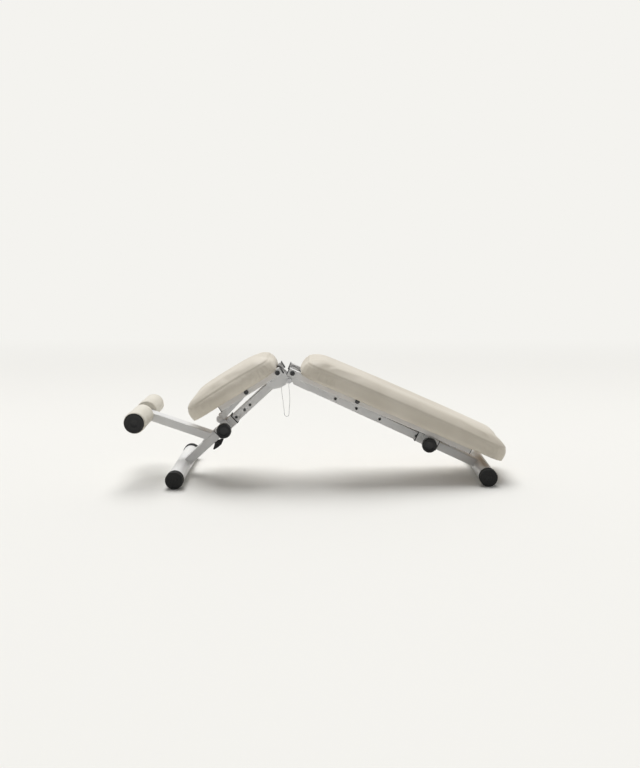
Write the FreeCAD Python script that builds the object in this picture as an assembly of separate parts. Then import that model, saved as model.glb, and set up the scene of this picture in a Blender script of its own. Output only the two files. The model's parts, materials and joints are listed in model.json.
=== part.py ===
import FreeCAD, Part
import math
import os

# Adjustable folding weight bench, millimetres.
# X runs from the leg-roller end (-) to the head end (+), Y from the knob side (-) to the
# far side (+), Z is up.  Z = 0 is the floor, Y = 0 is the plane of symmetry, X = 0 is
# midway between the two ends of the bench.

V = FreeCAD.Vector

# ---------------------------------------------------------------- driving dimensions
mid_x = 0.0                      # design X of the middle of the bench, moved to X = 0

# hinge head: design positions (x, z) of the pins
fold_axis = (-109.0, 349.3)
lock_axis = (-115.0, 361.0)
back_pivot = (-96.8, 382.9)
seat_pivot = (-149.5, 384.7)

# rest angles above the horizontal, degrees
rear_leg_angle = -25.0
front_leg_angle = 42.75
back_rail_angle = -23.65
seat_rail_angle = 31.9
roller_arm_angle = -19.3

# height of each rail pivot over the centre line of its leg
back_pivot_height = 27.0
seat_pivot_height = 22.0

# legs: rectangular tube
leg_half_height = 15.0
leg_half_width = 25.0
leg_wall = 2.0
tube_corner = 3.0
rear_leg_start = 24.0
front_leg_start = 6.0
index_hole_radius = 5.2
back_index_holes = (180.65, 264.5, 356.8, 503.5, 546.9)
seat_index_holes = (159.7, 186.5, 227.0, 279.0)

# feet: round tube across the bench with rubber caps
foot_radius = 28.5
foot_wall = 2.0
cap_radius = 31.5
cap_sleeve = 29.0
cap_end = 4.0
foot_height = 31.0
rear_foot_x = 585.0
front_foot_x = -500.0
rear_foot_half = 180.0
front_foot_half = 215.0

# hinge plates, in layers outward from the middle plane
plate_gap = 0.3
rear_plate_inner = 25.0
rear_plate_outer = 30.0
front_plate_inner = rear_plate_outer + plate_gap
front_plate_outer = front_plate_inner + 5.0
bolt_radius = 5.0
boss_radius = 9.0
running_gap = 0.05
hex_flat = 17.0

# rails: square tube
rail_half = 12.5
rail_wall = 2.0
rail_inner_y = 55.0
rail_outer_y = 80.0
rail_cap = 2.0
rail_cap_half = 13.5
back_rail_top = 17.7
back_rail_length = 712.0
seat_rail_top = 17.6
seat_rail_length = 261.0

# struts between rail and slider
back_strut_station = 249.5
back_strut_length = 293.5
seat_strut_station = 130.0
seat_strut_length = 147.6
strut_half = 11.0
strut_inner_y = 33.5
strut_outer_y = 38.5
strut_axle_radius = 5.0
strut_sleeve_radius = 8.5

# sliders on the legs
slider_half_length = 40.5
slider_half_height = 18.5
slider_half_width = 28.5
slider_wall = 2.0
slider_flange = 2.5
cheek_thick = 4.0
cheek_radius = 13.0
bracket_height = 35.5
bracket_offset = 4.0

# pull pins on the sliders
plunger_radius = 5.0
pin_sleeve_radius = 12.0
pin_sleeve_end = 52.0
knob_radius = 26.5
knob_face = 102.0
knob_back = 81.5
knob_neck_radius = 13.5
pull_stroke = 9.0
spring_radius = 7.0
spring_wire = 1.4
spring_turns = 6

# pads
pad_half_width = 140.0
board_half_width = 126.0
board_thick = 12.0
pad_end_thick = 54.0
pad_crown_thick = 71.0
pad_side = 34.0
pad_shoulder = 42.0
pad_hinge_round = 38.0
pad_far_round = 26.0
pad_corner = 62.0
back_pad_start = 24.0
back_pad_end = 811.5
seat_pad_start = -6.0
seat_pad_end = 343.0

# leg roller
roller_axis = (-636.0, 225.5)
foam_radius = 38.0
foam_inner_y = 28.0
foam_outer_y = 183.0
core_radius = 13.0
axle_radius = 8.0
roller_cap_radius = 35.0
hand_screw_station = 348.0

# lock pin, its split ring and the wire lanyard
lock_pin_radius = 3.0
lock_collar_radius = 4.2
lock_collar_in = 37.4
lock_head_radius = 5.5
lock_head_in = 47.0
lock_head_out = 54.5
lock_eye_y = 50.5
lock_ring_radius = 9.0
lock_ring_wire = 1.1
terminal_radius = 8.5
terminal_reach = 20.0
terminal_rise = 2.65
terminal_way = (-0.843, -0.538)
crimp_radius = 1.8
wire_diameter = 1.4

# ---------------------------------------------------------------- geometry helpers


def box(x0, x1, y0, y1, z0, z1):
    return Part.makeBox(x1 - x0, y1 - y0, z1 - z0, V(x0, y0, z0))


def rod(centre, radius, y0, y1):
    """Cylinder along Y about the point (x, z)."""
    return Part.makeCylinder(radius, y1 - y0, V(centre[0], y0, centre[1]), V(0, 1, 0))


def ring(centre, outer, inner, y0, y1):
    return rod(centre, outer, y0, y1).cut(rod(centre, inner, y0, y1))


def hexagon(centre, y0, y1, flat=hex_flat):
    """Hexagonal prism along Y with the given width across flats, two of them upright."""
    reach = flat / math.sqrt(3)
    points = [V(centre[0] + reach * math.cos(math.radians(60 * i + 30)), y0,
                centre[1] + reach * math.sin(math.radians(60 * i + 30))) for i in range(7)]
    return Part.Face(Part.makePolygon(points)).extrude(V(0, y1 - y0, 0))


def prism(points, y0, y1):
    """Prism along Y over a closed outline of (x, z) points."""
    loop = [V(x, y0, z) for x, z in points]
    loop.append(loop[0])
    return Part.Face(Part.makePolygon(loop)).extrude(V(0, y1 - y0, 0))


def mirrored(shape):
    return shape.mirror(V(0, 0, 0), V(0, 1, 0))


def both(shape):
    """A shape and its mirror image across the middle plane."""
    return [shape, mirrored(shape)]


def fused(shapes):
    whole = shapes[0]
    for extra in shapes[1:]:
        whole = whole.fuse(extra)
    return whole.removeSplitter()


def cut_all(shape, tools):
    for tool in tools:
        shape = shape.cut(tool)
    return shape


def rect_tube(x0, x1, half_width, half_height, wall):
    outer = box(x0, x1, -half_width, half_width, -half_height, half_height)
    outer = rounded(outer, tube_corner, V(1, 0, 0))
    inner = box(x0 - 1, x1 + 1, wall - half_width, half_width - wall,
                wall - half_height, half_height - wall)
    return outer.cut(inner)


def rounded(shape, radius, direction):
    """Round the straight edges that run along a direction."""
    edges = [edge for edge in shape.Edges
             if edge.Curve.TypeId == "Part::GeomLine"
             and abs(abs(edge.tangentAt(edge.FirstParameter).dot(direction)) - 1) < 1e-6]
    return shape.makeFillet(radius, edges)


class Line:
    """A line in the XZ plane that parts are laid out along: x along it, z square to it."""

    def __init__(self, origin, angle):
        self.origin = origin
        self.angle = angle
        self.cos = math.cos(math.radians(angle))
        self.sin = math.sin(math.radians(angle))

    def at(self, x, z=0.0):
        return (self.origin[0] + x * self.cos - z * self.sin,
                self.origin[1] + x * self.sin + z * self.cos)

    def local(self, point):
        dx = point[0] - self.origin[0]
        dz = point[1] - self.origin[1]
        return (dx * self.cos + dz * self.sin, dz * self.cos - dx * self.sin)

    def put(self, shape):
        placed = shape.copy()
        placed.rotate(V(0, 0, 0), V(0, -1, 0), self.angle)
        placed.translate(V(self.origin[0], 0, self.origin[1]))
        return placed


def below(pivot, angle, height):
    """Foot of the perpendicular from a pivot to a line of this angle, height below it."""
    return (pivot[0] + height * math.sin(math.radians(angle)),
            pivot[1] - height * math.cos(math.radians(angle)))


# Rear leg: x runs from the hinge down to the foot.  Front leg: x runs up towards the
# hinge, so stations down the front leg are negative.  The rails start at their pivots.
rear_leg = Line(below(back_pivot, rear_leg_angle, back_pivot_height), rear_leg_angle)
front_leg = Line(below(seat_pivot, front_leg_angle, seat_pivot_height), front_leg_angle)
back_rail = Line(back_pivot, back_rail_angle)
seat_rail = Line(seat_pivot, seat_rail_angle)
roller_arm = Line(roller_axis, roller_arm_angle)
rear_foot = (rear_foot_x, foot_height)
front_foot = (front_foot_x, foot_height)

nodes = {}


def save(name, shapes):
    """Write one node: a solid, or a group of separate solids."""
    if not isinstance(shapes, list):
        shapes = [shapes]
    solids = [solid for shape in shapes for solid in shape.Solids]
    for solid in solids:
        solid.translate(V(-mid_x, 0, 0))
    node = solids[0] if len(solids) == 1 else Part.makeCompound(solids)
    node.exportStep(os.path.join("parts", name + ".step"))
    nodes[name] = node


# ---------------------------------------------------------------- feet and legs


def foot_caps(centre, half):
    """Rubber caps with ribbed sleeves and a narrow flat to stand on."""
    end = half - cap_end
    cap = ring(centre, cap_radius, foot_radius, half - cap_sleeve, end)
    cap = cap.fuse(rod(centre, cap_radius, end, half))
    cap = cap.cut(ring(centre, cap_radius + 1, cap_radius - 1, end - 14, end - 10))
    cap = cap.cut(ring(centre, cap_radius + 1, cap_radius - 1, end - 7, end - 3))
    cap = cap.fuse(ring(centre, foot_radius, foot_radius - 3, end - 1, end))
    cap = cap.cut(box(centre[0] - 50, centre[0] + 50, 0, half + 1, -10, 0))
    cap = cap.cut(ring(centre, foot_radius, foot_radius - foot_wall - 1.5, end - 2, end))
    return both(cap.removeSplitter())


def foot_tube(centre, half):
    length = half - cap_end
    return ring(centre, foot_radius, foot_radius - foot_wall, -length, length)


def index_holes(stations, sign):
    """Cutters for the row of holes in the near wall of a leg."""
    return [rod((sign * station, 0), index_hole_radius,
                -leg_half_width - 1, -leg_half_width + leg_wall + 1) for station in stations]


def make_rear_leg():
    foot_station = rear_leg.local(rear_foot)[0]
    tube = rect_tube(rear_leg_start, foot_station, leg_half_width, leg_half_height, leg_wall)
    tube = cut_all(tube, index_holes(back_index_holes, 1))
    tube = rear_leg.put(tube).cut(rod(rear_foot, foot_radius, -60, 60))
    save("rear_leg_tube", tube)
    save("rear_foot_tube", foot_tube(rear_foot, rear_foot_half))
    save("rear_foot_caps", foot_caps(rear_foot, rear_foot_half))


def hand_screw_hole(radius):
    """Cutter square through the front leg for the hand screw."""
    return Part.makeCylinder(radius, 80, V(-hand_screw_station, 0, -40), V(0, 0, 1))


def make_front_leg():
    foot_station = front_leg.local(front_foot)[0]
    tube = rect_tube(foot_station, -front_leg_start, leg_half_width, leg_half_height, leg_wall)
    tube = cut_all(tube, index_holes(seat_index_holes, -1))
    tube = tube.cut(hand_screw_hole(bolt_radius + running_gap))
    tube = front_leg.put(tube).cut(rod(front_foot, foot_radius, -60, 60))
    save("front_leg_tube", tube)
    save("front_foot_tube", foot_tube(front_foot, front_foot_half))
    save("front_foot_caps", foot_caps(front_foot, front_foot_half))


# ---------------------------------------------------------------- hinge head


def make_rear_plates():
    """Plates on the rear leg that carry the backrest pivot and the fold axle."""
    x, z = back_pivot
    outline = [(x - 15.0, z), (lock_axis[0] - 8.3, lock_axis[1] + 1.0),
               (fold_axis[0] - 9.0, fold_axis[1] - 3.0), (fold_axis[0] + 9.0, fold_axis[1] - 3.5),
               rear_leg.at(22.0, -leg_half_height), rear_leg.at(85.0, -leg_half_height),
               rear_leg.at(85.0, leg_half_height), (x + 12.0, z + 9.0)]
    y0, y1 = rear_plate_inner, rear_plate_outer
    plate = fused([prism(outline, y0, y1), rod(back_pivot, 15.0, y0, y1),
                   rod(back_pivot, boss_radius, y0, rail_inner_y - plate_gap),
                   rod(lock_axis, 8.5, y0, y1), rod(fold_axis, 9.5, y0, y1)])
    plate = cut_all(plate, [rod(back_pivot, bolt_radius, y0 - 1, rail_inner_y),
                            rod(fold_axis, bolt_radius, y0 - 1, y1 + 1),
                            rod(lock_axis, 3.05, y0 - 1, y1 + 1)])
    save("rear_hinge_plates", both(plate))


def make_front_plates():
    """Outer plates on the front leg, with a pad to the leg and a lug on the fold axle."""
    x, z = seat_pivot
    lug_top = (fold_axis[0], fold_axis[1] + 9.5)
    lug_bottom = (fold_axis[0], fold_axis[1] - 9.5)
    edge = lock_axis[0] - 1.5
    outline = [(-166.3, 318.6), (-141.6, 324.4), (-121.5, 334.9), (-121.5, lug_bottom[1]),
               lug_bottom, lug_top, (-122.0, lug_top[1]), (edge, lock_axis[1] - 2.0),
               (edge, 370.0), (x + 8.5, z + 8.4), (x - 8.5, z + 8.4),
               front_leg.at(-62.0, leg_half_height)]
    y0, y1 = front_plate_inner, front_plate_outer
    plate = fused([prism(outline, y0, y1), rod(seat_pivot, 12.0, y0, y1),
                   rod(seat_pivot, boss_radius, y0, rail_inner_y - plate_gap),
                   rod(fold_axis, 9.5, y0, y1)])
    pad = front_leg.put(box(-56.0, -8.0, leg_half_width, y0, -13.0, 13.0))
    plate = fused([plate, pad])
    plate = cut_all(plate, [rod(seat_pivot, bolt_radius, y0 - 6, rail_inner_y),
                            rod(fold_axis, bolt_radius + running_gap, y0 - 6, y1 + 1),
                            rod(lock_axis, 3.3, y0 - 6, y1 + 1)])
    save("front_hinge_plates", both(plate))


def make_fold_axle():
    washer_in = front_plate_outer + plate_gap
    washer_out = washer_in + 1.5
    nut_in = washer_out + 1.5
    nut_out = nut_in + 7.5
    head = washer_out + 6.5
    bolt = fused([rod(fold_axis, bolt_radius, -washer_out, nut_out + 2.0),
                  hexagon(fold_axis, -head, -washer_out)])
    save("fold_bolt", bolt.common(rod(fold_axis, 9.4, -80, 80)))
    nut = hexagon(fold_axis, nut_in, nut_out).cut(rod(fold_axis, bolt_radius, 0, 80))
    spacer = ring(fold_axis, 8.5, bolt_radius, -rear_plate_inner, rear_plate_inner)
    washers = both(ring(fold_axis, 9.5, bolt_radius, washer_in, washer_out))
    save("fold_nut_and_spacers", washers + [nut, spacer])
    make_terminal(washer_out, nut_in)


def make_terminal(y0, y1):
    """Ring terminal under the nut of the fold axle, with a crimp barrel for the lanyard."""
    middle = (y0 + y1) / 2
    way_x, way_z = terminal_way
    start = V(fold_axis[0] + 10.2 * way_x, middle, fold_axis[1] + 10.2 * way_z)
    end = V(fold_axis[0] + terminal_reach * way_x, middle + terminal_rise,
            fold_axis[1] + terminal_reach * way_z)
    barrel = Part.makeCylinder(crimp_radius, (end - start).Length, start, end - start)
    neck = prism([(fold_axis[0] + along * way_x - aside * way_z,
                   fold_axis[1] + along * way_z + aside * way_x)
                  for along, aside in ((6.0, -2.0), (12.0, -1.6), (12.0, 1.6), (6.0, 2.0))], y0, y1)
    eye = fused([rod(fold_axis, terminal_radius, y0, y1), neck, barrel])
    save("lanyard_terminal", eye.cut(rod(fold_axis, bolt_radius, y0 - 5, y1 + 5)))


def pivot_bolts(centre, inner_y, plate_y, nut_thick):
    """Cap-headed bolts from outside each rail to a nut inside the hinge plate."""
    bolt = rod(centre, bolt_radius, inner_y, rail_outer_y + 0.5)
    head = rod(centre, 8.5, rail_outer_y + 0.5, rail_outer_y + 5.5)
    head = head.makeFillet(2.5, [edge for edge in head.Edges
                                 if abs(edge.BoundBox.YMin - rail_outer_y - 5.5) < 0.01
                                 and abs(edge.BoundBox.YMax - rail_outer_y - 5.5) < 0.01])
    head = head.cut(hexagon(centre, rail_outer_y + 3.0, rail_outer_y + 6.0, 6.0))
    nut = hexagon(centre, plate_y - nut_thick, plate_y).cut(
        rod(centre, bolt_radius, plate_y - nut_thick - 1, plate_y + 1))
    return both(fused([bolt, head])) + both(nut)


def make_pivots():
    save("back_pivot_bolts", pivot_bolts(back_pivot, 15.0, rear_plate_inner, 8.0))
    save("seat_pivot_bolts", pivot_bolts(seat_pivot, 25.5, front_plate_inner, 4.8))


def make_lock_pin():
    """Detent pin put in from the far side, with a split ring and a ferrule for the lanyard."""
    x, z = lock_axis
    pin = fused([rod(lock_axis, lock_pin_radius, -36.5, lock_collar_in),
                 rod(lock_axis, lock_collar_radius, lock_collar_in, lock_head_in),
                 rod(lock_axis, lock_head_radius, lock_head_in, lock_head_out)])
    eye = Part.makeCylinder(3.0, 16, V(x - 8, lock_eye_y, z - 0.6), V(1, 0, 0))
    save("lock_pin", pin.cut(eye))
    low = z - 2 * lock_ring_radius
    split_ring = Part.makeTorus(lock_ring_radius, lock_ring_wire,
                                V(x, lock_eye_y, z - lock_ring_radius), V(0, 1, 0))
    loop = Part.makeTorus(3.2, 0.7, V(x, lock_eye_y, low - 1.3), V(1, 0, 0))
    crimp = Part.makeCylinder(crimp_radius, 9.0, V(x, lock_eye_y, low - 12.9), V(0, 0, 1))
    save("lock_pin_ring", [split_ring, fused([loop, crimp])])


# ---------------------------------------------------------------- rails


def make_rails(name, line, start, end, strut_station, bar_stations, screws):
    """A pair of square rails with end caps, pivot bushes and two flat cross bars."""
    holes = [rod((0, 0), 8.0, rail_inner_y - 1, rail_outer_y + 1),
             rod((strut_station, 0), strut_axle_radius, rail_inner_y - 1, rail_outer_y + 1)]
    middle = (rail_inner_y + rail_outer_y) / 2
    half = rail_half
    tube = box(start + rail_cap, end - rail_cap, rail_inner_y, rail_outer_y, -half, half)
    tube = rounded(tube, 2.5, V(1, 0, 0))
    tube = tube.cut(box(start - 9, end + 9, rail_inner_y + rail_wall, rail_outer_y - rail_wall,
                        rail_wall - half, half - rail_wall))
    tube = cut_all(tube, holes)
    for station in screws:
        tube = tube.cut(Part.makeCylinder(3.1, 40, V(station, middle, -20), V(0, 0, 1)))
    save(name + "_rails", [line.put(shape) for shape in both(tube)])
    caps = []
    for x0, x1, plug0, plug1 in ((start, start + rail_cap, start + rail_cap, start + 7.0),
                                 (end - rail_cap, end, end - 12.0, end - rail_cap)):
        under_pad = abs(x0) > rail_inner_y
        flange = box(x0, x1, middle - rail_cap_half, middle + rail_cap_half,
                     -rail_cap_half, rail_half if under_pad else rail_cap_half)
        flange = rounded(flange, 3.0, V(1, 0, 0))
        plug_half = half - rail_wall
        plug = box(plug0, plug1, middle - plug_half, middle + plug_half, -plug_half, plug_half)
        plug = plug.cut(rod((0, 0), 8.2, 0, 100))
        caps.append(fused([flange, plug]))
    save(name + "_rail_caps", [line.put(shape) for cap in caps for shape in both(cap)])
    bush = ring((0, 0), 8.0, bolt_radius + running_gap, rail_inner_y, rail_outer_y)
    save(name + "_pivot_bushes", [line.put(shape) for shape in both(bush)])
    bars = []
    for station in bar_stations:
        bar = box(station - 20, station + 20, -rail_inner_y, rail_inner_y, half - 3.0, half)
        bars.append(line.put(bar))
    save(name + "_cross_bars", bars)
    axle = rod((strut_station, 0), strut_axle_radius, -rail_outer_y, rail_outer_y)
    heads = both(rod((strut_station, 0), 8.5, rail_outer_y, rail_outer_y + 4.0))
    save(name + "_strut_axle", line.put(fused([axle] + heads)))


# ---------------------------------------------------------------- pads


def pad_profile(x0, x1, hinge_round, far_round):
    """Side profile of a pad from its hinge end x0 to its far end x1, as one face.

    The top is three arcs: a small rounding at each end and one long crown between them.
    """
    bottom = rail_half
    way = 1.0 if x1 > x0 else -1.0
    top = bottom + pad_end_thick
    far_top = bottom + pad_end_thick + 2.0
    turn = math.radians(45)
    near_mid = V(x0 + way * hinge_round * (1 - math.cos(turn)), 0,
                 top - hinge_round * (1 - math.sin(turn)))
    far_mid = V(x1 - way * far_round * (1 - math.cos(turn)), 0,
                far_top - far_round * (1 - math.sin(turn)))
    a = V(x0, 0, bottom)
    b = V(x0, 0, top - hinge_round)
    c = V(x0 + way * hinge_round, 0, top)
    d = V((x0 + x1) / 2, 0, bottom + pad_crown_thick)
    e = V(x1 - way * far_round, 0, far_top)
    f = V(x1, 0, far_top - far_round)
    g = V(x1, 0, bottom)
    edges = [Part.LineSegment(a, b).toShape(), Part.Arc(b, near_mid, c).toShape(),
             Part.Arc(c, d, e).toShape(), Part.Arc(e, far_mid, f).toShape(),
             Part.LineSegment(f, g).toShape(), Part.LineSegment(g, a).toShape()]
    return Part.Face(Part.Wire(edges))


def pad_section():
    """Cross section of a pad: upright sides and round shoulders, open above the crown."""
    bottom = rail_half
    half = pad_half_width
    side = bottom + pad_side
    top = side + pad_shoulder
    bend = pad_shoulder * (1 - math.cos(math.radians(45)))
    a = V(0, -half, bottom)
    b = V(0, -half, side)
    c = V(0, -half + pad_shoulder, top)
    d = V(0, half - pad_shoulder, top)
    e = V(0, half, side)
    f = V(0, half, bottom)
    left = V(0, -half + bend, top - bend)
    right = V(0, half - bend, top - bend)
    edges = [Part.LineSegment(a, b).toShape(), Part.Arc(b, left, c).toShape(),
             Part.LineSegment(c, d).toShape(), Part.Arc(d, right, e).toShape(),
             Part.LineSegment(e, f).toShape(), Part.LineSegment(f, a).toShape()]
    return Part.Face(Part.Wire(edges))


def pad_solid(x0, x1):
    low, high = min(x0, x1), max(x0, x1)
    side_view = pad_profile(x0, x1, pad_hinge_round, pad_far_round)
    side_view.translate(V(0, -pad_half_width - 5, 0))
    along = side_view.extrude(V(0, 2 * pad_half_width + 10, 0))
    across = pad_section()
    across.translate(V(low - 5, 0, 0))
    across = across.extrude(V(high - low + 10, 0, 0))
    plan = box(low, high, -pad_half_width, pad_half_width, 0, 120)
    plan = rounded(plan, pad_corner, V(0, 0, 1))
    return along.common(across).common(plan)


def make_pad(name, line, x0, x1, screws):
    """Upholstered pad: plywood board let into the underside of the foam and its cover."""
    low, high = min(x0, x1), max(x0, x1)
    bottom = rail_half
    board = box(low + 14, high - 14, -board_half_width, board_half_width,
                bottom, bottom + board_thick)
    board = rounded(board, pad_corner - 14, V(0, 0, 1))
    cushion = pad_solid(x0, x1).cut(board)
    middle = (rail_inner_y + rail_outer_y) / 2
    fasteners = []
    for station in screws:
        for y in (-middle, middle):
            shank = Part.makeCylinder(3.0, bottom * 2 + 9, V(station, y, -bottom), V(0, 0, 1))
            head = Part.makeCylinder(6.0, 3.5, V(station, y, -bottom - 3.5), V(0, 0, 1))
            board = board.cut(shank)
            fasteners.append(line.put(fused([shank, head])))
    save(name + "_pad_board", line.put(board))
    save(name + "_pad_cushion", line.put(cushion))
    save(name + "_pad_screws", fasteners)


# ---------------------------------------------------------------- struts and sliders


def strut_line(rail, leg, station, length, foot_side):
    """Line from the rail bolt to the slider bracket: meets the bracket height exactly."""
    bolt = rail.at(station)
    x, z = leg.local(bolt)
    reach = math.sqrt(length ** 2 - (z - bracket_height) ** 2)
    end = leg.at(x + foot_side * reach, bracket_height)
    angle = math.degrees(math.atan2(end[1] - bolt[1], end[0] - bolt[0]))
    return Line(bolt, angle), end, leg.local(end)[0]


def make_strut(name, line, length):
    """Two flat links on a sleeve, each with a riveted pin into the slider bracket."""
    y0, y1 = strut_inner_y, strut_outer_y
    link = fused([box(0, length, y0, y1, -strut_half, strut_half),
                  rod((0, 0), strut_half, y0, y1), rod((length, 0), strut_half, y0, y1)])
    link = link.cut(rod((0, 0), strut_axle_radius + running_gap, y0 - 1, y1 + 1))
    link = fused([link, rod((length, 0), bolt_radius, slider_half_width + plate_gap, y1),
                  rod((length, 0), 8.5, y1, y1 + 5.0)])
    sleeve = ring((0, 0), strut_sleeve_radius, strut_axle_radius + running_gap, -y0, y0)
    spacer = ring((0, 0), 8.5, strut_axle_radius + running_gap, y1, rail_inner_y - plate_gap)
    save(name + "_strut_links", [line.put(shape) for shape in both(link)])
    save(name + "_strut_sleeves", [line.put(shape) for shape in [sleeve] + both(spacer)])


def make_slider(name, leg, centre, bracket, foot_side):
    """Sleeve that runs on a leg, with nylon bushes, bracket cheeks and a pull pin."""
    half = slider_half_length
    wall = slider_wall
    inner_w = slider_half_width - wall
    inner_h = slider_half_height - wall
    sleeve = rect_tube(centre - half, centre + half, slider_half_width, slider_half_height, wall)
    pin_hole = rod((centre, 0), plunger_radius + running_gap, -slider_half_width - 1, 0)
    sleeve = sleeve.cut(pin_hole)
    save(name + "_slider_sleeve", leg.put(sleeve))
    bushes = []
    for side in (-1, 1):
        end = centre + side * half
        lip = end + side * slider_flange
        tail = end - side * (half - 0.2)
        flange = box(min(end, lip), max(end, lip), -slider_half_width - 0.8,
                     slider_half_width + 0.8, -slider_half_height - 0.8, slider_half_height + 0.8)
        liner = box(min(end, tail), max(end, tail), -inner_w, inner_w, -inner_h, inner_h)
        bush = fused([flange, liner])
        bush = bush.cut(box(centre - 60, centre + 60, -leg_half_width - 0.3, leg_half_width + 0.3,
                            -leg_half_height - 0.3, leg_half_height + 0.3))
        bushes.append(leg.put(bush.cut(pin_hole)))
    save(name + "_slider_bushes", bushes)
    y0, y1 = slider_half_width, slider_half_width + cheek_thick
    foot = [(bracket - foot_side * 16, -2.0), (bracket + foot_side * 34, -2.0),
            (bracket + foot_side * 34, slider_half_height - 2.0),
            (bracket + foot_side * 8, bracket_height - 10.5),
            (bracket, bracket_height + 1.0), (bracket - foot_side * 12.5, bracket_height)]
    cheek = fused([prism(foot, y0, y1), rod((bracket, bracket_height), cheek_radius, y0, y1)])
    # the pin of the strut leaves the cheek through a mouth that opens towards the foot
    clear = bolt_radius + 0.3
    mouth = [rod((bracket, bracket_height), clear, y0 - 1, y1 + 1)]
    low = math.radians(2.0)
    high = math.radians(40.0)
    reach = 40.0
    x, z = bracket, bracket_height
    mouth.append(prism([(x + foot_side * clear * math.sin(low), z - clear * math.cos(low)),
                        (x + foot_side * reach, z + reach * math.tan(low) - clear),
                        (x + foot_side * reach, z + reach * math.tan(high)),
                        (x - foot_side * clear * math.sin(high), z + clear * math.cos(high))],
                       y0 - 1, y1 + 1))
    cheek = cut_all(cheek, mouth)
    here = (centre, 0)
    inside = -slider_half_width
    pin_sleeve = fused([ring(here, pin_sleeve_radius, 9.0, -pin_sleeve_end, inside),
                        ring(here, pin_sleeve_radius, plunger_radius + running_gap,
                             -pin_sleeve_end, -pin_sleeve_end + 3.0)])
    near_cheek = mirrored(cheek).cut(rod(here, pin_sleeve_radius, -60, 0))
    save(name + "_slider_bracket", [leg.put(shape) for shape in (near_cheek, cheek, pin_sleeve)])
    make_pull_pin(name, leg, centre)


def make_pull_pin(name, leg, centre):
    """Spring plunger inside the pin sleeve, with a round knob outboard of the rails."""
    here = (centre, 0)
    tip = leg_half_width + 0.5
    collar = slider_half_width + 0.5
    plunger = fused([rod(here, plunger_radius, -knob_back - 8, -tip),
                     rod(here, 8.5, -collar - 3.0, -collar)])
    save(name + "_pin_plunger", leg.put(plunger))
    knob = fused([rod(here, knob_neck_radius, -knob_back - 1, -pin_sleeve_end - 0.5),
                  rod(here, knob_radius, -knob_face, -knob_back)])
    rim = [edge for edge in knob.Edges
           if edge.Curve.TypeId == "Part::GeomCircle" and abs(edge.Curve.Radius - knob_radius) < 0.01]
    knob = knob.makeFillet(3.0, rim)
    knob = knob.cut(rod(here, 19.0, -knob_face - 1, -knob_face + 3.0))
    knob = knob.cut(rod(here, plunger_radius, -knob_back - 8, 0))
    save(name + "_pin_knob", leg.put(knob))
    spring = spring_rings(here, collar + 3.0, pin_sleeve_end - 3.0)
    save(name + "_pin_spring", [leg.put(ring_turn) for ring_turn in spring])


def spring_rings(centre, y0, y1):
    """Turns of a compression spring about Y, between two distances on the near side."""
    first = y0 + spring_wire
    pitch = (y1 - y0 - 2 * spring_wire) / (spring_turns - 1)
    return [Part.makeTorus(spring_radius, spring_wire / 2,
                           V(centre[0], -first - turn * pitch, centre[1]), V(0, 1, 0))
            for turn in range(spring_turns)]


# ---------------------------------------------------------------- leg roller


def make_roller_arm():
    """Arm from the front leg out to the roller axle, on a saddle held by a hand screw."""
    reach = roller_arm.local(front_leg.at(-hand_screw_station, leg_half_height))[0]
    tube = rect_tube(-18.0, reach + 40, leg_half_width, leg_half_height, leg_wall)
    tube = tube.cut(rod((0, 0), axle_radius, -60, 60))
    leg_side = front_leg.put(box(-700, 100, -60, 60, -200, leg_half_height + 4.0))
    tube = roller_arm.put(tube).cut(leg_side)
    save("roller_arm_tube", tube)
    plug = box(-20.0, -18.0, -leg_half_width, leg_half_width, -leg_half_height, leg_half_height)
    plug = fused([rounded(plug, 3.0, V(1, 0, 0)),
                  box(-18.0, -9.0, 2.0 - leg_half_width, leg_half_width - 2.0,
                      2.0 - leg_half_height, leg_half_height - 2.0)])
    save("roller_arm_plug", roller_arm.put(plug))
    x0, x1 = -hand_screw_station - 32, -hand_screw_station + 24
    saddle = box(x0, x1, -leg_half_width, leg_half_width, leg_half_height, leg_half_height + 4.0)
    saddle = saddle.cut(hand_screw_hole(bolt_radius + running_gap))
    save("roller_arm_saddle", front_leg.put(rounded(saddle, 4.0, V(0, 0, 1))))
    save("roller_axle", rod(roller_axis, axle_radius, -foam_outer_y + 2, foam_outer_y - 2))


def make_hand_screw():
    """Wing screw under the front leg, threaded up into the saddle."""
    x = -hand_screw_station
    low = -leg_half_height
    stud = Part.makeCylinder(bolt_radius, 37.5, V(x, 0, low - 16.0), V(0, 0, 1))
    save("hand_screw_stud", front_leg.put(stud))
    hub = Part.makeCylinder(9.5, 19.0, V(x, 0, low - 20.5), V(0, 0, 1))
    wing = prism([(x - 28, low - 15.5), (x - 8, low - 3.5), (x + 8, low - 3.5),
                  (x + 28, low - 11.0), (x + 26, low - 14.5), (x + 8, low - 22.5),
                  (x - 8, low - 22.5), (x - 26, low - 19.0)], -5.0, 5.0)
    body = fused([hub, wing]).cut(
        Part.makeCylinder(bolt_radius, 40, V(x, 0, low - 16.0), V(0, 0, 1)))
    save("hand_screw_wing", front_leg.put(body))


def make_rollers():
    for name, side in (("near", -1), ("far", 1)):
        y = sorted((side * foam_inner_y, side * foam_outer_y))
        save("roller_foam_" + name, ring(roller_axis, foam_radius, core_radius, *y))
        save("roller_core_" + name, ring(roller_axis, core_radius, axle_radius + running_gap, *y))
        y = sorted((side * foam_outer_y, side * (foam_outer_y + 5.0)))
        cap = rod(roller_axis, roller_cap_radius, *y)
        save("roller_cap_" + name, cap.makeFillet(1.8, cap.Edges))


# ---------------------------------------------------------------- lanyard

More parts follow.
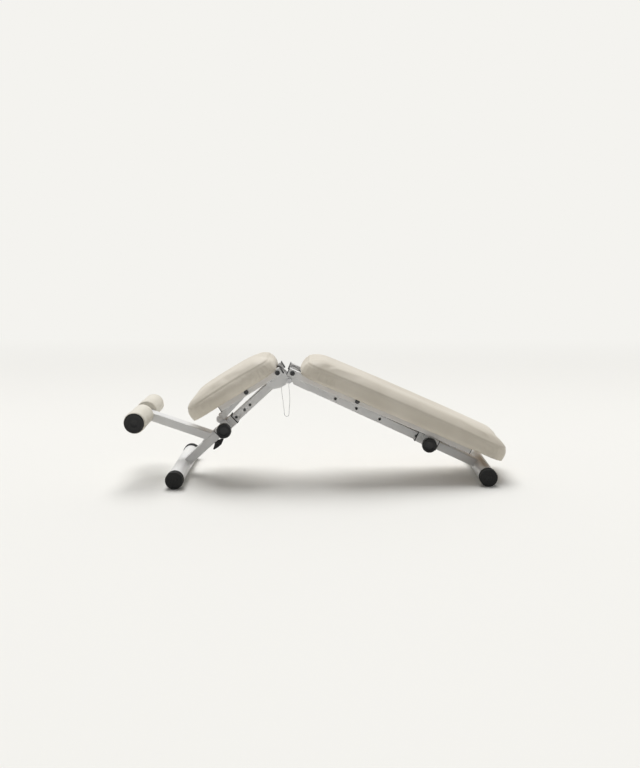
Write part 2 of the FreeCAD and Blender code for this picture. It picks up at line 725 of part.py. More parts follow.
# The wire leaves the terminal on the fold axle, hangs in a narrow loop and comes back up
# to the ferrule on the ring of the lock pin: (x, y, z).
lanyard_route = (
    (-125.86, 40.5, 338.54),
    (-134.1, 42.7, 333.3),
    (-139.6, 44.5, 323.6),
    (-141.2, 45.6, 309.0),
    (-139.9, 46.4, 290.0),
    (-137.0, 47.2, 268.0),
    (-134.0, 48.1, 243.0),
    (-131.7, 49.0, 221.0),
    (-131.5, 49.7, 208.0),
    (-126.8, 50.2, 202.2),
    (-119.4, 50.6, 202.0),
    (-114.3, 50.8, 207.3),
    (-114.0, 51.1, 219.5),
    (-112.5, 51.5, 239.0),
    (-110.9, 51.8, 263.0),
    (-111.6, 51.8, 287.0),
    (-113.7, 51.3, 309.0),
    (-115.0, 50.5, 330.0),
)


def cord_path(points):
    """Straight runs joined by tangent arcs, each as large as its two runs allow."""
    points = [V(*point) for point in points]
    edges = []
    radii = []
    start = points[0]
    for before, corner, after in zip(points, points[1:], points[2:]):
        back = before - corner
        ahead = after - corner
        run = min(back.Length, ahead.Length)
        back.normalize()
        ahead.normalize()
        turn = math.pi - back.getAngle(ahead)
        cut = 0.45 * run
        radius = cut / math.tan(turn / 2)
        first = corner + back * cut
        last = corner + ahead * cut
        middle = back + ahead
        middle.normalize()
        top = corner + middle * (radius / math.cos(turn / 2) - radius)
        edges.append(Part.LineSegment(start, first).toShape())
        edges.append(Part.Arc(first, top, last).toShape())
        radii.append(round(radius, 1))
        start = last
    edges.append(Part.LineSegment(start, points[-1]).toShape())
    return Part.Wire(edges), radii


def make_lanyard():
    path, radii = cord_path(lanyard_route)
    start, ahead = V(*lanyard_route[0]), V(*lanyard_route[1])
    circle = Part.Wire(Part.Circle(start, ahead - start, wire_diameter / 2).toShape())
    wire = path.makePipeShell([circle], True, False)
    section = math.pi * wire_diameter ** 2 / 4
    print("lanyard radii", radii, "length", round(path.Length, 1),
          "volume ratio", round(wire.Volume / (section * path.Length), 4))
    save("lanyard_wire", wire)


# ---------------------------------------------------------------- build

os.makedirs("parts", exist_ok=True)

make_rear_leg()
make_front_leg()
make_rear_plates()
make_front_plates()
make_fold_axle()
make_pivots()
make_lock_pin()

back_screws = (110.0, 370.0, 620.0)
seat_screws = (-40.0, -205.0)
make_rails("back", back_rail, -back_rail_top, back_rail_length - back_rail_top,
           back_strut_station, (70.0, 655.0), back_screws)
make_rails("seat", seat_rail, seat_rail_top - seat_rail_length, seat_rail_top,
           -seat_strut_station, (-62.0, -218.0), seat_screws)
make_pad("back", back_rail, back_pad_start, back_pad_end, back_screws)
make_pad("seat", seat_rail, -seat_pad_start, -seat_pad_end, seat_screws)

back_strut, back_bracket, back_station = strut_line(
    back_rail, rear_leg, back_strut_station, back_strut_length, 1)
seat_strut, seat_bracket, seat_station = strut_line(
    seat_rail, front_leg, -seat_strut_station, seat_strut_length, -1)
make_strut("back", back_strut, back_strut_length)
make_strut("seat", seat_strut, seat_strut_length)
make_slider("back", rear_leg, back_station + bracket_offset, back_station, 1)
make_slider("seat", front_leg, seat_station - bracket_offset, seat_station, -1)

make_roller_arm()
make_hand_screw()
make_rollers()
make_lanyard()

whole = FreeCAD.BoundBox()
for node_name, node_shape in nodes.items():
    whole.add(node_shape.BoundBox)
    if not node_shape.isValid():
        print("not valid:", node_name)
print("nodes", len(nodes), "box", whole)
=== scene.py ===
import json
import math

import bmesh
import bpy
from mathutils import Matrix, Vector, noise


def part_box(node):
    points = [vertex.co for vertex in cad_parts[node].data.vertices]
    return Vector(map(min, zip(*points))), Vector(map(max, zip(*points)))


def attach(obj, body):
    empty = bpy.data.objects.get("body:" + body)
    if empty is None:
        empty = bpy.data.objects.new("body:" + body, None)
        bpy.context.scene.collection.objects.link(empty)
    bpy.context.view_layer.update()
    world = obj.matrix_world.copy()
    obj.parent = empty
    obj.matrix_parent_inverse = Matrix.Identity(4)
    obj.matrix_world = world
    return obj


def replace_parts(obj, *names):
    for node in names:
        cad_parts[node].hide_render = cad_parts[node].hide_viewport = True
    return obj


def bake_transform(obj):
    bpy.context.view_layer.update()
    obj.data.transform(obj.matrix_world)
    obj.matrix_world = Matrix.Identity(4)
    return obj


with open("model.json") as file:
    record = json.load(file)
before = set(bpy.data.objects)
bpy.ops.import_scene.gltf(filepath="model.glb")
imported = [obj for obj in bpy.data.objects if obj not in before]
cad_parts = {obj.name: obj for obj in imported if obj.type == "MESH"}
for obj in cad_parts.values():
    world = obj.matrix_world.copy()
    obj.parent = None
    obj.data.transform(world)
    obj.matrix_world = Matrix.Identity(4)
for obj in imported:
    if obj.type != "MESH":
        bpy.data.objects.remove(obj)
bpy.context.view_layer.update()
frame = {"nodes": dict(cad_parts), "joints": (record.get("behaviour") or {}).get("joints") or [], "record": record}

# Visual model of the folding weight bench, in metres, in the frame of the CAD model:
# +X to the head end, +Y away from the knobs, +Z up, Z = 0 on the floor.

scene = bpy.context.scene
joints = {joint["name"]: joint for joint in frame["joints"]}

# ---------------------------------------------------------------- camera

CAMERA_PLACE = (0.0, -3.061, 0.8442)
CAMERA_TILT = math.radians(80.4945)
CAMERA_LENS = 40.31
BACKDROP_TONE = (0.905, 0.896, 0.863)


def make_camera():
    camera = bpy.data.objects.new("camera", bpy.data.cameras.new("camera"))
    camera.data.lens = CAMERA_LENS
    camera.location = CAMERA_PLACE
    camera.rotation_euler = (CAMERA_TILT, 0.0, 0.0)
    scene.collection.objects.link(camera)
    scene.camera = camera


# ---------------------------------------------------------------- materials


class Finish:
    """A Principled material whose procedural inputs are added one at a time."""

    def __init__(self, name, roughness=0.5, metallic=0.0, specular=0.5, coat=0.0, sheen=0.0):
        self.material = bpy.data.materials.new(name)
        self.material.use_nodes = True
        self.tree = self.material.node_tree
        self.shader = self.tree.nodes["Principled BSDF"]
        self.shader.inputs["Roughness"].default_value = roughness
        self.shader.inputs["Metallic"].default_value = metallic
        self.shader.inputs["Specular IOR Level"].default_value = specular
        self.shader.inputs["Coat Weight"].default_value = coat
        self.shader.inputs["Sheen Weight"].default_value = sheen
        self.place = self.tree.nodes.new("ShaderNodeTexCoord").outputs["Object"]
        self.normal = None

    def join(self, source, target):
        self.tree.links.new(source, target)

    def stretched(self, scale):
        mapping = self.tree.nodes.new("ShaderNodeMapping")
        mapping.inputs["Scale"].default_value = scale
        self.join(self.place, mapping.inputs["Vector"])
        return mapping.outputs["Vector"]

    def noise(self, scale, detail=3.0, place=None):
        node = self.tree.nodes.new("ShaderNodeTexNoise")
        node.inputs["Scale"].default_value = scale
        node.inputs["Detail"].default_value = detail
        self.join(place or self.place, node.inputs["Vector"])
        return node.outputs["Fac"]

    def cells(self, scale, feature="DISTANCE_TO_EDGE"):
        node = self.tree.nodes.new("ShaderNodeTexVoronoi")
        node.feature = feature
        node.inputs["Scale"].default_value = scale
        self.join(self.place, node.inputs["Vector"])
        return node.outputs["Distance"]

    def ramp(self, source, stops):
        node = self.tree.nodes.new("ShaderNodeValToRGB")
        elements = node.color_ramp.elements
        while len(elements) < len(stops):
            elements.new(0.5)
        for element, (position, colour) in zip(elements, stops):
            element.position = position
            element.color = (*colour, 1.0)
        self.join(source, node.inputs["Fac"])
        return node.outputs["Color"]

    def colours(self, source, stops):
        self.join(self.ramp(source, stops), self.shader.inputs["Base Color"])
        return self

    def roughness(self, source, low, high):
        node = self.tree.nodes.new("ShaderNodeMapRange")
        node.inputs["To Min"].default_value = low
        node.inputs["To Max"].default_value = high
        self.join(source, node.inputs["Value"])
        self.join(node.outputs["Result"], self.shader.inputs["Roughness"])
        return self

    def bump(self, source, depth, strength=1.0):
        node = self.tree.nodes.new("ShaderNodeBump")
        node.inputs["Distance"].default_value = depth
        node.inputs["Strength"].default_value = strength
        self.join(source, node.inputs["Height"])
        if self.normal is not None:
            self.join(self.normal, node.inputs["Normal"])
        self.normal = node.outputs["Normal"]
        self.join(self.normal, self.shader.inputs["Normal"])
        return self


def painted_metal(name, dark, light):
    """Satin powder coat: faint orange peel and a slow drift of tone."""
    paint = Finish(name, 0.42, coat=0.12)
    paint.colours(paint.noise(9.0), [(0.35, dark), (0.65, light)])
    paint.roughness(paint.noise(60.0), 0.34, 0.5)
    return paint.bump(paint.noise(620.0, 2.0), 0.00012, 0.5).material


def moulded(name, dark, light, rough, grain=900.0, depth=0.00012):
    """Moulded plastic or rubber with a fine spark-eroded grain."""
    plastic = Finish(name, rough)
    plastic.colours(plastic.noise(70.0, 5.0), [(0.3, dark), (0.7, light)])
    plastic.roughness(plastic.noise(140.0), rough - 0.08, rough + 0.1)
    return plastic.bump(plastic.noise(grain, 4.0), depth, 0.6).material


def bare_metal(name, dark, light, rough, stretch=(40.0, 900.0, 40.0)):
    """Turned or drawn metal: fine lines round the part and cloudy reflections."""
    metal = Finish(name, rough, metallic=1.0)
    metal.colours(metal.noise(120.0, 4.0), [(0.3, dark), (0.7, light)])
    lines = metal.noise(1.0, 2.0, metal.stretched(stretch))
    metal.roughness(lines, rough - 0.08, rough + 0.12)
    return metal.bump(lines, 0.00004, 0.5).material


def leatherette(name, shade, mid, light, grain=620.0):
    """Embossed vinyl leather: pebbled grain, soft creasing and a slight sheen."""
    cover = Finish(name, 0.52, specular=0.42, sheen=0.12)
    cover.colours(cover.noise(6.5, 6.0), [(0.3, shade), (0.52, mid), (0.72, light)])
    cover.roughness(cover.noise(45.0, 4.0), 0.46, 0.62)
    cover.bump(cover.noise(26.0, 3.0), 0.0012, 0.35)
    return cover.bump(cover.cells(grain), 0.00028, 0.5).material


def plywood(name):
    """Birch board: long grain with darker figure."""
    wood = Finish(name, 0.62)
    figure = wood.noise(1.0, 6.0, wood.stretched((14.0, 160.0, 160.0)))
    wood.colours(figure, [(0.25, (0.32, 0.2, 0.11)), (0.5, (0.5, 0.35, 0.2)), (0.8, (0.6, 0.45, 0.28))])
    return wood.bump(figure, 0.0003, 0.5).material


def twisted_wire(name):
    wire = Finish(name, 0.32, metallic=1.0)
    strand_bands_and_groove_shade = wire.tree.nodes.new("ShaderNodeTexWave")
    strand_bands_and_groove_shade.inputs["Scale"].default_value = 420.0
    strand_bands_and_groove_shade.bands_direction = "DIAGONAL"
    wire.join(wire.place, strand_bands_and_groove_shade.inputs["Vector"])
    # The colour ramp on the strand bands is painted shade: dark in the grooves between the strands, light on their
    # crowns.
    wire.colours(strand_bands_and_groove_shade.outputs["Fac"], [(0.2, (0.16, 0.16, 0.17)), (0.8, (0.5, 0.5, 0.51))])
    return wire.bump(strand_bands_and_groove_shade.outputs["Fac"], 0.0001, 0.6).material


def studio_white(name):
    """Pale matt floor that turns into an evenly bright backdrop behind the bench."""
    floor = Finish(name, 0.9, specular=0.1)
    floor.colours(floor.noise(0.6), [(0.3, (0.835, 0.827, 0.797)), (0.7, (0.84, 0.832, 0.802))])
    glow = floor.tree.nodes.new("ShaderNodeEmission")
    glow.inputs["Color"].default_value = (*BACKDROP_TONE, 1.0)
    split = floor.tree.nodes.new("ShaderNodeSeparateXYZ")
    floor.join(floor.place, split.inputs["Vector"])
    share = floor.tree.nodes.new("ShaderNodeMapRange")
    share.interpolation_type = "SMOOTHSTEP"
    share.inputs["From Min"].default_value = 1.2
    share.inputs["From Max"].default_value = 4.5
    floor.join(split.outputs["Y"], share.inputs["Value"])
    mix = floor.tree.nodes.new("ShaderNodeMixShader")
    floor.join(share.outputs["Result"], mix.inputs["Fac"])
    floor.join(floor.shader.outputs["BSDF"], mix.inputs[1])
    floor.join(glow.outputs["Emission"], mix.inputs[2])
    floor.join(mix.outputs["Shader"], floor.tree.nodes["Material Output"].inputs["Surface"])
    return floor.material


finishes = {
    "white_frame": painted_metal("white_powder_coat", (0.7, 0.7, 0.697), (0.75, 0.75, 0.747)),
    "black_rubber": moulded("black_rubber", (0.006, 0.006, 0.006), (0.014, 0.014, 0.014), 0.72,
                            1100.0, 0.0002),
    "black_plastic": moulded("black_plastic", (0.005, 0.005, 0.0055), (0.01, 0.01, 0.0105), 0.55),
    "knob_plastic": moulded("knob_plastic", (0.006, 0.006, 0.0065), (0.012, 0.012, 0.0125), 0.4),
    "pivot_nylon": moulded("natural_nylon", (0.6, 0.58, 0.53), (0.7, 0.68, 0.63), 0.45),
    "black_steel": bare_metal("black_oxide_steel", (0.05, 0.05, 0.052), (0.11, 0.11, 0.112), 0.42),
    "zinc_steel": bare_metal("zinc_steel", (0.52, 0.52, 0.53), (0.68, 0.68, 0.68), 0.3),
    "steel_wire": twisted_wire("twisted_steel_wire"),
    "pad_leather": leatherette("cream_leatherette", (0.63, 0.575, 0.48), (0.69, 0.635, 0.54),
                               (0.73, 0.675, 0.58)),
    "pad_board": plywood("birch_plywood"),
    "roller_vinyl": leatherette("cream_vinyl", (0.68, 0.64, 0.55), (0.74, 0.7, 0.61),
                                (0.78, 0.74, 0.65), 480.0),
    "roller_core": moulded("grey_tube", (0.3, 0.3, 0.3), (0.38, 0.38, 0.38), 0.5),
}

# ---------------------------------------------------------------- mesh helpers


def add_piece(name, verts, faces, slot, body, smooth=True):
    """A mesh object with its finish, riding on a body."""
    mesh = bpy.data.meshes.new(name)
    mesh.from_pydata([tuple(v) for v in verts], [], faces)
    mesh.update()
    piece = bpy.data.objects.new(name, mesh)
    scene.collection.objects.link(piece)
    dress(piece, slot, smooth)
    if body:
        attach(piece, body)
    return piece


def dress(piece, slot, smooth=True):
    piece.data.materials.clear()
    piece.data.materials.append(finishes[slot])
    for polygon in piece.data.polygons:
        polygon.use_smooth = smooth


def outward(mesh):
    """Turns every face outwards and closes nothing."""
    work = bmesh.new()
    work.from_mesh(mesh)
    bmesh.ops.recalc_face_normals(work, faces=work.faces)
    work.to_mesh(mesh)
    work.free()


def lathe(name, centre, side, profile, slot, body, sides=96, wobble=None):
    """Turns a profile of (radius, distance) about an axis along Y from centre.

    side is +1 or -1: the way along Y that the distances run.  wobble(radius, distance,
    angle) gives a changed radius.
    """
    verts, faces = [], []
    for radius, along in profile:
        for i in range(sides):
            angle = 2 * math.pi * i / sides
            r = wobble(radius, along, angle) if wobble else radius
            verts.append((centre[0] + r * math.cos(angle), centre[1] + side * along,
                          centre[2] + r * math.sin(angle)))
    for row in range(len(profile) - 1):
        for i in range(sides):
            j = (i + 1) % sides
            faces.append((row * sides + i, row * sides + j,
                          (row + 1) * sides + j, (row + 1) * sides + i))
    for row in (0, len(profile) - 1):
        if profile[row][0] < 1e-6:
            continue
        faces.append([row * sides + i for i in range(sides)])
    piece = add_piece(name, verts, faces, slot, None)
    work = bmesh.new()
    work.from_mesh(piece.data)
    bmesh.ops.remove_doubles(work, verts=work.verts, dist=1e-6)
    bmesh.ops.recalc_face_normals(work, faces=work.faces)
    work.to_mesh(piece.data)
    work.free()
    piece.data.set_sharp_from_angle(angle=math.radians(50))
    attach(piece, body)
    return piece


def arc(centre_r, centre_a, radius, start, end, steps):
    """Points (radius, distance) of a rounded corner in a lathe's profile, in degrees."""
    points = []
    for i in range(steps + 1):
        angle = math.radians(start + (end - start) * i / steps)
        points.append((centre_r + radius * math.cos(angle), centre_a + radius * math.sin(angle)))
    return points


# ---------------------------------------------------------------- lanyard

# The same points as the wire's route in the CAD model, in metres.
LANYARD_ROUTE = (
    (-0.12586, 0.0405, 0.33854),
    (-0.1341, 0.0427, 0.3333),
    (-0.1396, 0.0445, 0.3236),
    (-0.1412, 0.0456, 0.3090),
    (-0.1399, 0.0464, 0.2900),
    (-0.1370, 0.0472, 0.2680),
    (-0.1340, 0.0481, 0.2430),
    (-0.1317, 0.0490, 0.2210),
    (-0.1315, 0.0497, 0.2080),
    (-0.1268, 0.0502, 0.2022),
    (-0.1194, 0.0506, 0.2020),
    (-0.1143, 0.0508, 0.2073),
    (-0.1140, 0.0511, 0.2195),
    (-0.1125, 0.0515, 0.2390),
    (-0.1109, 0.0518, 0.2630),
    (-0.1116, 0.0518, 0.2870),
    (-0.1137, 0.0513, 0.3090),
    (-0.1150, 0.0505, 0.3300),
)
LANYARD_DIAMETER = 0.0014


def smooth_route(points):
    """Points along the NURBS spline that has the route as its control points."""
    curve = bpy.data.curves.new("route", "CURVE")
    curve.dimensions = "3D"
    curve.resolution_u = 8
    spline = curve.splines.new("NURBS")
    spline.points.add(len(points) - 1)
    for target, point in zip(spline.points, points):
        target.co = (*point, 1.0)
    spline.order_u = 3
    spline.use_endpoint_u = True
    holder = bpy.data.objects.new("route", curve)
    scene.collection.objects.link(holder)
    line = bpy.data.meshes.new_from_object(holder)
    path = [v.co.copy() for v in line.vertices]
    bpy.data.objects.remove(holder)
    return path


def tube_along(name, path, radius, slot, sides=10):
    """A closed round tube that follows a path, with its section carried along it."""
    verts, faces = [], []
    up = Vector((0, 1, 0))
    last = len(path) - 1
    for i, point in enumerate(path):
        ahead = (path[min(i + 1, last)] - path[max(i - 1, 0)]).normalized()
        across = ahead.cross(up).normalized()
        up = across.cross(ahead).normalized()
        for k in range(sides):
            angle = 2 * math.pi * k / sides
            verts.append(point + radius * (math.cos(angle) * across + math.sin(angle) * up))
    for i in range(last):
        for k in range(sides):
            n = (k + 1) % sides
            faces.append((i * sides + k, i * sides + n, (i + 1) * sides + n, (i + 1) * sides + k))
    faces.append([k for k in range(sides)])
    faces.append([last * sides + k for k in range(sides)])
    piece = add_piece(name, verts, faces, slot, None)
    outward(piece.data)
    return piece


def make_lanyard():
    path = smooth_route(LANYARD_ROUTE)
    wire = tube_along("lanyard", path, LANYARD_DIAMETER / 2, "steel_wire")
    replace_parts(wire, "lanyard_wire")
    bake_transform(wire)


# ---------------------------------------------------------------- pads

RAIL_HALF = 0.0125
PAD_HALF_WIDTH = 0.139
PAD_CORNER = 0.062
PAD_SHOULDER = 0.037
PAD_END_THICK = 0.0665
PAD_CROWN = 0.0055
BOARD_INSET = 0.0125
BOARD_EDGE = 0.009
BOARD_TOP = RAIL_HALF + 0.0126
VOXEL = 0.0055
SWELL_FRAMES = 20
RELAX_ROUNDS = 9
SWELL_PRESSURE = 4.0
SWELL_CAP = 0.0055


class Pad:
    """One upholstered pad in the coordinates of its rails: x along, y across, z square up."""

    def __init__(self, name, body, pivot_joint, strut_joint, start, end):
        self.name = name
        self.body = body
        self.low, self.high = sorted((start, end))
        self.hinge_low = abs(start) < abs(end) and start < end
        pivot = Vector(joints[pivot_joint]["pos_m"])
        along = Vector(joints[strut_joint]["pos_m"]) - pivot
        along.y = 0.0
        along.normalize()
        if along.x < 0:
            along = -along
        up = along.cross(Vector((0, 1, 0)))
        self.matrix = Matrix(((along.x, 0, up.x, pivot.x), (0, 1, 0, 0),
                              (along.z, 0, up.z, pivot.z), (0, 0, 0, 1)))

    def outline(self, inset, corner_steps=10, long_steps=60, short_steps=16):
        """Points round the plan of the pad, moved in by inset."""
        corner = max(PAD_CORNER - inset, 0.004)
        x0, x1 = self.low + inset + corner, self.high - inset - corner
        y1 = PAD_HALF_WIDTH - inset - corner
        points = []
        for x, y, turn, steps, towards in ((x1, y1, 0, long_steps, (x0, y1)),
                                           (x0, y1, 90, short_steps, (x0, -y1)),
                                           (x0, -y1, 180, long_steps, (x1, -y1)),
                                           (x1, -y1, 270, short_steps, (x1, y1))):
            for i in range(corner_steps + 1):
                angle = math.radians(turn + 90 * i / corner_steps)
                points.append((x + corner * math.cos(angle), y + corner * math.sin(angle)))
            end = math.radians(turn + 90)
            shift = (corner * math.cos(end), corner * math.sin(end))
            for i in range(1, steps):
                share = i / steps
                points.append((x + (towards[0] - x) * share + shift[0],
                               y + (towards[1] - y) * share + shift[1]))
        return points

    def top(self, x):
        """Height of the top surface at its edge, above the rails' centre line."""
        share = 2 * (x - self.low) / (self.high - self.low) - 1
        return RAIL_HALF + PAD_END_THICK + PAD_CROWN * (1 - share * share) - 0.003

    def depth(self, x, y):
        """Distance in from the plan's outline."""
        half = (self.high - self.low) / 2
        dx = abs(x - (self.low + self.high) / 2) - (half - PAD_CORNER)
        dy = abs(y) - (PAD_HALF_WIDTH - PAD_CORNER)
        outside = math.hypot(max(dx, 0.0), max(dy, 0.0)) + min(max(dx, dy), 0.0)
        return PAD_CORNER - outside

    def block(self):
        """The closed starting form: a stack of rings from the underside to the crown."""
        rings = [(0.045, 0.0, 0.0), (0.012, 0.0, 0.0), (0.003, 0.0, 0.0), (0.0, 0.003, 0.0)]
        rings += [(0.0, 0.0, share) for share in (0.35, 0.7, 1.0)]
        for i in range(1, 7):
            turn = math.radians(15 * i)
            rings.append((PAD_SHOULDER * (1 - math.cos(turn)), PAD_SHOULDER * math.sin(turn), 1.0))
        rings += [(PAD_SHOULDER + 0.02, PAD_SHOULDER + 0.0025, 1.0),
                  (PAD_SHOULDER + 0.045, PAD_SHOULDER + 0.0045, 1.0)]
        verts, faces, rows = [], [], []
        for inset, rise, side in rings:
            row = []
            for x, y in self.outline(inset):
                side_top = self.top(x) - PAD_SHOULDER
                base = RAIL_HALF + side * (side_top - RAIL_HALF)
                row.append(len(verts))
                verts.append((x, y, base + rise))
            rows.append(row)
        count = len(rows[0])
        for a, b in zip(rows, rows[1:]):
            for i in range(count):
                j = (i + 1) % count
                faces.append((a[i], a[j], b[j], b[i]))
        faces.append(rows[0][::-1])
        faces.append(rows[-1])
        return verts, faces

    def build(self):
        verts, faces = self.block()
        piece = add_piece(self.name, verts, faces, "pad_leather", None)
        outward(piece.data)
        remesh(piece, VOXEL)
        swell(piece, lambda co: co.z < RAIL_HALF + 0.006)
        relax(piece, RELAX_ROUNDS)
        subdivide(piece)
        for vertex, normal in [(v, v.normal.copy()) for v in piece.data.vertices]:
            self.sew(vertex, normal)
        piece.data.transform(self.matrix)
        piece.data.update()
        dress(piece, "pad_leather")
        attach(piece, self.body)
        return piece

    def sew(self, vertex, normal):
        """Seam round the shoulder, gathers at the corners and the let-in board."""
        x, y, z = vertex.co
        inside = self.depth(x, y)
        side_top = self.top(x) - PAD_SHOULDER * 0.55
        if z < RAIL_HALF + 0.006 and inside > 0.003:
            share = max(0.0, min(1.0, (inside - BOARD_INSET) / BOARD_EDGE))
            share = share * share * (3 - 2 * share)
            vertex.co.z = RAIL_HALF + share * (BOARD_TOP - RAIL_HALF)
            return
        push = 0.0
        if inside < 0.03 and abs(normal.z) < 0.85:
            push -= 0.0008 * math.exp(-((z - side_top) / 0.0024) ** 2)
            push += 0.0009 * math.exp(-((z - side_top - 0.0055) / 0.0035) ** 2)
            end = min(x - self.low, self.high - x)
            hinge_end = x - self.low if self.hinge_low else self.high - x
            corner = math.exp(-((end - 0.045) / 0.05) ** 2) * min(1.0, (abs(y) / 0.1) ** 4)
            corner += 0.55 * math.exp(-((hinge_end - 0.1) / 0.05) ** 2)
            below = max(0.0, min(1.0, (side_top - z) / 0.012))
            fold = noise.noise(Vector((x * 95, y * 95, z * 14)))
            fold += 0.5 * math.sin((x + y * 0.8) * 420 + 5 * noise.noise(Vector((x, y, z)) * 30))
            push += 0.0009 * corner * fold * (0.08 + 0.92 * below)
        push += 0.0007 * noise.noise(Vector((x * 11, y * 11, z * 11)))
        vertex.co += normal * push


def remesh(piece, voxel):
    modifier = piece.modifiers.new("remesh", "REMESH")
    modifier.mode = "VOXEL"
    modifier.voxel_size = voxel
    bake_down(piece)
    relax(piece, 3)


def relax(piece, rounds):
    modifier = piece.modifiers.new("relax", "SMOOTH")
    modifier.factor = 0.5
    modifier.iterations = rounds
    bake_down(piece)


def subdivide(piece):
    modifier = piece.modifiers.new("subdivide", "SUBSURF")
    modifier.levels = 1
    modifier.render_levels = 1
    bake_down(piece)


def bake_down(piece):
    """Puts the evaluated mesh in place of the piece's own, with no modifier left."""
    graph = bpy.context.evaluated_depsgraph_get()
    mesh = bpy.data.meshes.new_from_object(piece.evaluated_get(graph))
    piece.modifiers.clear()
    piece.data = mesh


def swell(piece, held):
    """Blows the cover up a little by cloth simulation, with the held points fixed."""
    group = piece.vertex_groups.new(name="held")
    fixed = [v.index for v in piece.data.vertices if held(v.co)]
    group.add(fixed, 1.0, "REPLACE")
    start = [v.co.copy() for v in piece.data.vertices]
    cloth = piece.modifiers.new("cloth", "CLOTH")
    cloth.settings.quality = 4
    cloth.settings.mass = 0.3
    cloth.settings.tension_stiffness = 18.0
    cloth.settings.compression_stiffness = 18.0
    cloth.settings.bending_stiffness = 6.0
    cloth.settings.vertex_group_mass = "held"
    cloth.settings.use_pressure = True
    cloth.settings.uniform_pressure_force = SWELL_PRESSURE
    cloth.settings.effector_weights.gravity = 0.0
    cloth.point_cache.frame_start = 1
    cloth.point_cache.frame_end = SWELL_FRAMES
    for number in range(1, SWELL_FRAMES + 1):
        scene.frame_set(number)
    graph = bpy.context.evaluated_depsgraph_get()
    end = [v.co.copy() for v in piece.evaluated_get(graph).data.vertices]
    piece.modifiers.clear()
    piece.vertex_groups.clear()
    for vertex, before, after in zip(piece.data.vertices, start, end):
        move = after - before
        if move.length > SWELL_CAP:
            move = move.normalized() * SWELL_CAP
        vertex.co = before + move
    scene.frame_set(1)


def make_pads():
    back = Pad("back_pad", "backrest", "back_tilt", "back_strut_turn", 0.0225, 0.8105)
    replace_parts(back.build(), "back_pad_cushion")
    seat = Pad("seat_pad", "seat", "seat_tilt", "seat_strut_turn", 0.0055, -0.3445)
    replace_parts(seat.build(), "seat_pad_cushion")


# ---------------------------------------------------------------- rollers, caps and knobs


def middle_of(node):
    low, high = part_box(node)
    return [(a + b) / 2 for a, b in zip(low, high)], low, high


def make_rollers():
    for side, name in ((-1, "near"), (1, "far")):
        middle, low, high = middle_of("roller_foam_" + name)
        length = high[1] - low[1]
        radius = (high[2] - low[2]) / 2
        inner = (middle[0], middle[1] - side * length / 2, middle[2])
        soft = 0.007
        profile = [(0.0132, 0.0)]
        profile += arc(radius - soft, soft, soft, -90, 0, 6)
        steps = 22
        profile += [(radius, soft + (length - 2 * soft) * i / steps) for i in range(1, steps)]
        profile += arc(radius - soft, length - soft, soft, 0, 90, 6)
        profile += [(0.0132, length), (0.0132, length * 0.66), (0.0132, length * 0.33)]

        def soften(r, along, angle):
            if r < 0.014:
                return r
            place = Vector((math.cos(angle) * 2.2, along * 22 + side, math.sin(angle) * 2.2))
            return r - 0.0004 + 0.0007 * noise.noise(place)

        foam = lathe("roller_pad_" + name, inner, side, profile[:-2], "roller_vinyl",
                     "roller_" + name, wobble=soften)
        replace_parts(foam, "roller_foam_" + name)
        middle, low, high = middle_of("roller_cap_" + name)
        inner_y = low[1] if side > 0 else high[1]
        radius = (high[2] - low[2]) / 2
        thick = high[1] - low[1]
        face = [(0.0, 0.0), (radius - 0.001, 0.0)]
        face += arc(radius - 0.0016, 0.0022, 0.0016, -60, 70, 5)
        face += [(radius - 0.0045, thick), (radius - 0.006, thick - 0.0006),
                 (radius - 0.0075, thick - 0.0012), (radius * 0.5, thick - 0.0006),
                 (radius * 0.34, thick - 0.0004), (radius * 0.31, thick - 0.0012),
                 (radius * 0.1, thick - 0.0014), (0.0, thick - 0.0014)]
        cap = lathe("roller_end_" + name, (middle[0], inner_y, middle[2]), side, face,
                    "black_plastic", "roller_" + name)
        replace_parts(cap, "roller_cap_" + name)


def make_foot_caps():
    """Rubber foot caps with ribs round the sleeve and rings on the end face."""
    for node, body in (("front_foot_caps", "front_frame"), ("rear_foot_caps", "rear_frame")):
        low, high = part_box(node)
        x = (low[0] + high[0]) / 2
        height = high[2] - 0.0315
        radius = height
        tube = 0.02855
        length = 0.029
        for side, label in ((-1, "near"), (1, "far")):
            profile = [(tube, 0.0), (radius - 0.0012, 0.0), (radius - 0.0004, 0.0008)]
            for start in (0.0045, 0.0095, 0.0145, 0.0195):
                profile += [(radius, start - 0.002), (radius, start), (radius - 0.0011, start + 0.0006),
                            (radius - 0.0011, start + 0.0018), (radius, start + 0.0024)]
            profile += arc(radius - 0.003, length - 0.003, 0.003, 0, 90, 5)
            for r in (0.024, 0.018, 0.012):
                profile += [(r + 0.0008, length), (r, length - 0.0008), (r - 0.0008, length)]
            profile += [(0.0055, length), (0.0045, length - 0.001), (0.0, length - 0.001)]
            inner = [(0.0, length - 0.0045), (tube - 0.001, length - 0.0045)]
            cap = lathe(f"{node[:-5]}_cap_{label}", (x, side * (high[1] - length), height), side,
                        inner[:1] + inner[1:] + profile, "black_rubber", body)
            if side < 0:
                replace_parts(cap, node)
            else:
                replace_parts(cap, node)


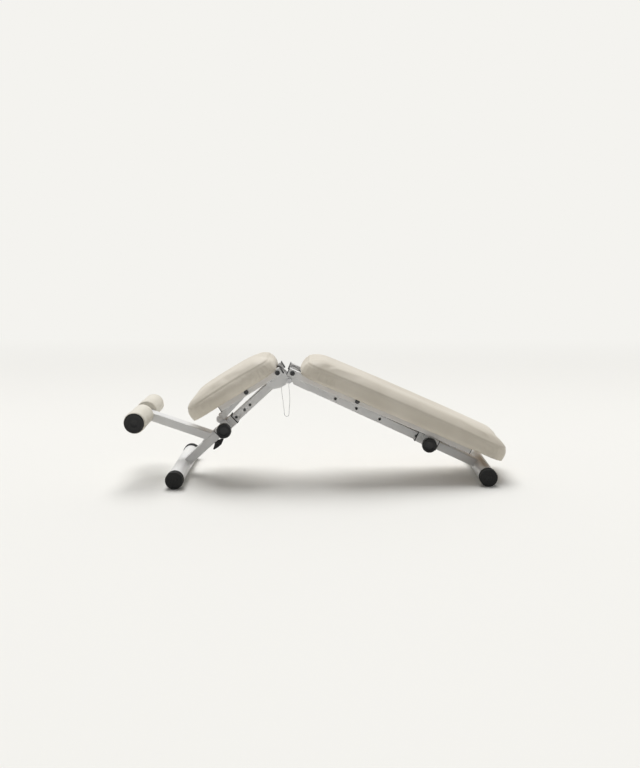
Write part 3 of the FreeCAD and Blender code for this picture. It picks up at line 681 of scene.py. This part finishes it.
def make_knobs():
    """Pull-pin knobs: fluted rim, raised ring and a dished face."""
    for name in ("back", "seat"):
        middle, low, high = middle_of(name + "_pin_knob")
        centre = (middle[0], high[1], middle[2])
        depth = high[1] - low[1]
        rim = (high[2] - low[2]) / 2
        skirt = depth - 0.0205

        def flutes(r, along, angle):
            if r < rim - 0.004 or along < skirt:
                return r
            return r - 0.0006 + 0.0006 * math.cos(30 * angle)

        profile = [(0.0052, 0.0), (0.0125, 0.0), (0.0135, 0.001), (0.0135, skirt - 0.004),
                   (0.016, skirt - 0.001), (rim - 0.004, skirt)]
        profile += arc(rim - 0.002, skirt + 0.002, 0.002, -90, 0, 4)
        profile += [(rim, skirt + 0.006), (rim, depth - 0.008)]
        profile += arc(rim - 0.0035, depth - 0.0035, 0.0035, 0, 80, 6)
        profile += [(0.0212, depth - 0.0001), (0.0206, depth - 0.0012), (0.0198, depth - 0.0012),
                    (0.0192, depth), (0.0178, depth), (0.0172, depth - 0.003),
                    (0.0165, depth - 0.0036), (0.006, depth - 0.0036), (0.0, depth - 0.0036)]
        knob = lathe(name + "_knob", centre, -1, profile, "knob_plastic",
                     name + "_pull_pin", sides=180, wobble=flutes)
        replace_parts(knob, name + "_pin_knob")


def make_floor():
    """A pale floor that sweeps up behind the bench."""
    bend, back, front, tall, half = 2.5, 5.0, -7.0, 7.0, 9.0
    line = [(front, 0.0), (back, 0.0)]
    for i in range(1, 17):
        angle = math.radians(90 * i / 16)
        line.append((back + bend * math.sin(angle), bend * (1 - math.cos(angle))))
    line.append((back + bend, tall))
    verts = [(x, y, z) for y, z in line for x in (-half, half)]
    faces = [(2 * i, 2 * i + 1, 2 * i + 3, 2 * i + 2) for i in range(len(line) - 1)]
    mesh = bpy.data.meshes.new("studio_floor")
    mesh.from_pydata(verts, [], faces)
    floor = bpy.data.objects.new("studio_floor", mesh)
    scene.collection.objects.link(floor)
    mesh.materials.append(studio_white("studio_white"))
    for polygon in mesh.polygons:
        polygon.use_smooth = True


def make_lights():
    """One large soft source overhead, a little behind the bench, and a dim even sky."""
    scene.view_settings.view_transform = "Standard"
    world = bpy.data.worlds.new("studio")
    world.use_nodes = True
    background = world.node_tree.nodes["Background"]
    background.inputs["Color"].default_value = (1.0, 0.995, 0.985, 1.0)
    background.inputs["Strength"].default_value = 0.32
    scene.world = world
    light = bpy.data.lights.new("overhead", "SUN")
    light.energy = 2.5
    light.angle = math.radians(42)
    lamp = bpy.data.objects.new("overhead", light)
    lamp.rotation_euler = (math.radians(-24), math.radians(-6), 0.0)
    scene.collection.objects.link(lamp)


make_camera()
make_lanyard()
for part in frame["record"]["subparts"]:
    frame["nodes"][part["node"]].data.materials.clear()
    frame["nodes"][part["node"]].data.materials.append(finishes[part["material_slot"]])
make_pads()
make_rollers()
make_foot_caps()
make_knobs()
make_floor()
make_lights()
